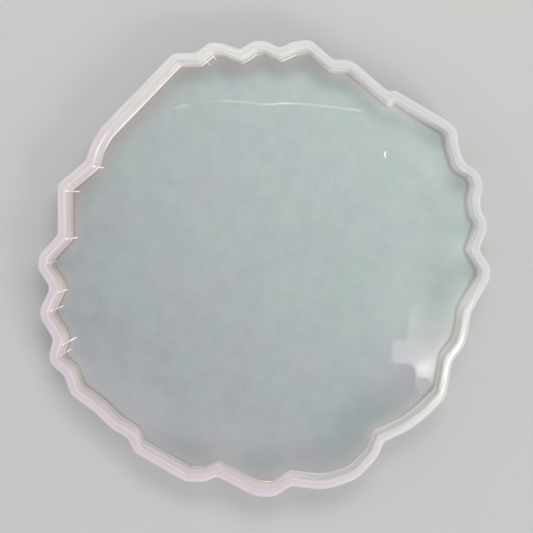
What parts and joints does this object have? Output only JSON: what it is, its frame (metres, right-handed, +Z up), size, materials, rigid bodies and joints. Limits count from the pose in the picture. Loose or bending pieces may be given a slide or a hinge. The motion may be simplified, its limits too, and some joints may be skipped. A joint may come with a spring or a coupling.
{
  "type": "resin casting mould",
  "caption": "Open silicone tray mould with the wavy outline of an agate slice, a flat glossy cavity floor and an upright wall, for casting a resin tray or coaster.",
  "frame": {"origin": "centre of the outline's bounding rectangle, on the underside", "axes": "+Z up out of the open cavity, along the shortest extent; +Y away from a person who has the mould in front of them, +X to their right"},
  "size_m": [0.1996, 0.2016, 0.012],
  "materials": {
    "silicone_floor": "glossy translucent silicone, thin",
    "silicone_wall": "satin milky silicone"
  },
  "bodies": {
    "root": {"cavity_floor": "silicone_floor", "perimeter_wall": "silicone_wall"}
  },
  "joints": []
}
